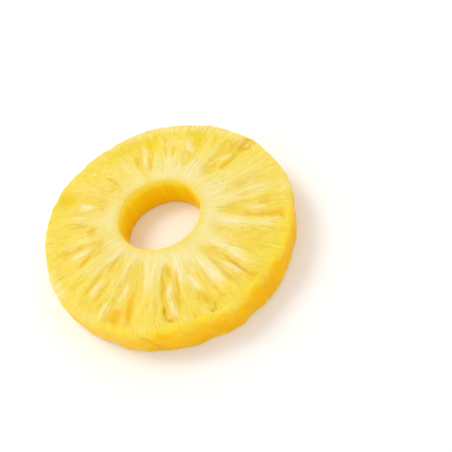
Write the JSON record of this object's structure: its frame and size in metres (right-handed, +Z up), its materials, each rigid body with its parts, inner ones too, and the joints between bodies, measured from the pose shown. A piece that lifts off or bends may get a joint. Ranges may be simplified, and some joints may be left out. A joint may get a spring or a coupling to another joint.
{
  "type": "pineapple slice",
  "caption": "Round slice of fresh peeled pineapple with the core punched out and the fruitlets laid out round the hole.",
  "frame": {"origin": "middle of the slice's outline, on the surface that the slice lies on", "axes": "+Z up out of the cut face, -Y towards the side that faces the camera, +X to the right"},
  "size_m": [0.0894, 0.0908, 0.0132],
  "materials": {
    "pineapple_flesh": "juicy yellow fruit flesh, paler towards the core and golden on the rim"
  },
  "bodies": {
    "root": {"pineapple_slice": "pineapple_flesh"}
  },
  "joints": []
}
